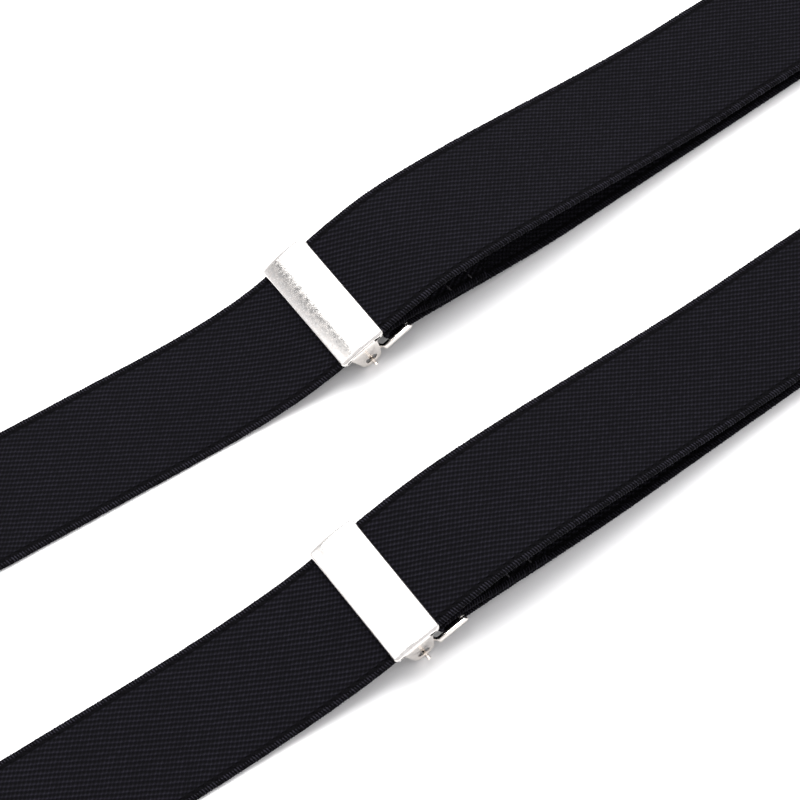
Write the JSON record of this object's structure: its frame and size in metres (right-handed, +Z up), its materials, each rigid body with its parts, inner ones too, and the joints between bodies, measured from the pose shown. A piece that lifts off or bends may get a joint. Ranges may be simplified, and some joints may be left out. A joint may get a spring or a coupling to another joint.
{
  "type": "clip-on suspenders",
  "caption": "Pair of black elastic suspenders with nickel slide adjusters, a leather cross patch at the back and hinged flip clips, laid flat.",
  "frame": {"origin": "middle of the footprint, on the surface that the suspenders lie on", "axes": "+X along the straps from the back clips towards the front clips, +Y towards the left strap, +Z up"},
  "size_m": [0.9476, 0.1848, 0.0173],
  "materials": {
    "webbing": "twill elastic",
    "leather_outer": "fine grain",
    "leather_inner": "suede",
    "nickel_cover": "bright nickel plate",
    "nickel_bracket": "nickel plate",
    "nickel_lever": "nickel plate",
    "clip_plate": "nickel plate",
    "clip_cover": "bright nickel plate",
    "clip_pin": "turned",
    "grip_pad": "ribbed"
  },
  "bodies": {
    "webbing": {"strap_left": "webbing", "strap_right": "webbing", "patch_outer": "leather_outer", "patch_inner": "leather_inner"},
    "adjuster_left": {"adjuster_cover_left": "nickel_cover", "adjuster_bracket_left": "nickel_bracket"},
    "lever_left": {"adjuster_lever_left": "nickel_lever"},
    "loop_left": {"front_run_left": "webbing", "return_run_left": "webbing"},
    "adjuster_right": {"adjuster_cover_right": "nickel_cover", "adjuster_bracket_right": "nickel_bracket"},
    "lever_right": {"adjuster_lever_right": "nickel_lever"},
    "loop_right": {"front_run_right": "webbing", "return_run_right": "webbing"},
    "clip_front_left": {"clip_base_front_left": "clip_plate", "clip_pin_front_left": "clip_pin", "base_pad_front_left": "grip_pad"},
    "flip_front_left": {"clip_cover_front_left": "clip_cover", "cam_pad_front_left": "grip_pad"},
    "clip_back_left": {"clip_base_back_left": "clip_plate", "clip_pin_back_left": "clip_pin", "base_pad_back_left": "grip_pad"},
    "flip_back_left": {"clip_cover_back_left": "clip_cover", "cam_pad_back_left": "grip_pad"},
    "clip_front_right": {"clip_base_front_right": "clip_plate", "clip_pin_front_right": "clip_pin", "base_pad_front_right": "grip_pad"},
    "flip_front_right": {"clip_cover_front_right": "clip_cover", "cam_pad_front_right": "grip_pad"},
    "clip_back_right": {"clip_base_back_right": "clip_plate", "clip_pin_back_right": "clip_pin", "base_pad_back_right": "grip_pad"},
    "flip_back_right": {"clip_cover_back_right": "clip_cover", "cam_pad_back_right": "grip_pad"}
  },
  "joints": [
    {"name": "adjuster_left_slide", "type": "slide", "parent": "webbing", "child": "adjuster_left", "axis": [1, 0, 0], "range_m": [-0.08, 0.08], "deforming": ["strap_left"]},
    {"name": "loop_left_follow", "type": "slide", "parent": "adjuster_left", "child": "loop_left", "axis": [1, 0, 0], "range_m": [-0.04, 0.04], "deforming": ["front_run_left", "return_run_left"]},
    {"name": "lever_left_swing", "type": "hinge", "parent": "adjuster_left", "child": "lever_left", "pos_m": [0.2358, 0.037, 0.0035], "axis": [0, 1, 0], "range_deg": [0, 18]},
    {"name": "adjuster_right_slide", "type": "slide", "parent": "webbing", "child": "adjuster_right", "axis": [1, 0, 0], "range_m": [-0.08, 0.08], "deforming": ["strap_right"]},
    {"name": "loop_right_follow", "type": "slide", "parent": "adjuster_right", "child": "loop_right", "axis": [1, 0, 0], "range_m": [-0.04, 0.04], "deforming": ["front_run_right", "return_run_right"]},
    {"name": "lever_right_swing", "type": "hinge", "parent": "adjuster_right", "child": "lever_right", "pos_m": [0.197, -0.037, 0.0035], "axis": [0, 1, 0], "range_deg": [0, 18]},
    {"name": "clip_front_left_swing", "type": "hinge", "parent": "loop_left", "child": "clip_front_left", "pos_m": [0.4308, 0.037, 0.00285], "axis": [0, -1, 0], "range_deg": [0, 80]},
    {"name": "flip_front_left_open", "type": "hinge", "parent": "clip_front_left", "child": "flip_front_left", "pos_m": [0.4648, 0.037, 0.0056], "axis": [0, 1, 0], "range_deg": [0, 100]},
    {"name": "clip_back_left_swing", "type": "hinge", "parent": "webbing", "child": "clip_back_left", "pos_m": [-0.42952, -0.06891, 0.00285], "axis": [-0.2756, 0.9613, 0], "range_deg": [0, 80]},
    {"name": "flip_back_left_open", "type": "hinge", "parent": "clip_back_left", "child": "flip_back_left", "pos_m": [-0.4622, -0.07828, 0.0056], "axis": [0.2756, -0.9613, 0], "range_deg": [0, 100]},
    {"name": "clip_front_right_swing", "type": "hinge", "parent": "loop_right", "child": "clip_front_right", "pos_m": [0.4114, -0.037, 0.00285], "axis": [0, -1, 0], "range_deg": [0, 80]},
    {"name": "flip_front_right_open", "type": "hinge", "parent": "clip_front_right", "child": "flip_front_right", "pos_m": [0.4454, -0.037, 0.0056], "axis": [0, 1, 0], "range_deg": [0, 100]},
    {"name": "clip_back_right_swing", "type": "hinge", "parent": "webbing", "child": "clip_back_right", "pos_m": [-0.42952, 0.06891, 0.00285], "axis": [0.2756, 0.9613, 0], "range_deg": [0, 80]},
    {"name": "flip_back_right_open", "type": "hinge", "parent": "clip_back_right", "child": "flip_back_right", "pos_m": [-0.4622, 0.07828, 0.0056], "axis": [-0.2756, -0.9613, 0], "range_deg": [0, 100]}
  ],
  "couplings": [
    {"joint": "loop_left_follow", "follows": "adjuster_left_slide", "ratio": -0.5},
    {"joint": "loop_right_follow", "follows": "adjuster_right_slide", "ratio": -0.5}
  ]
}
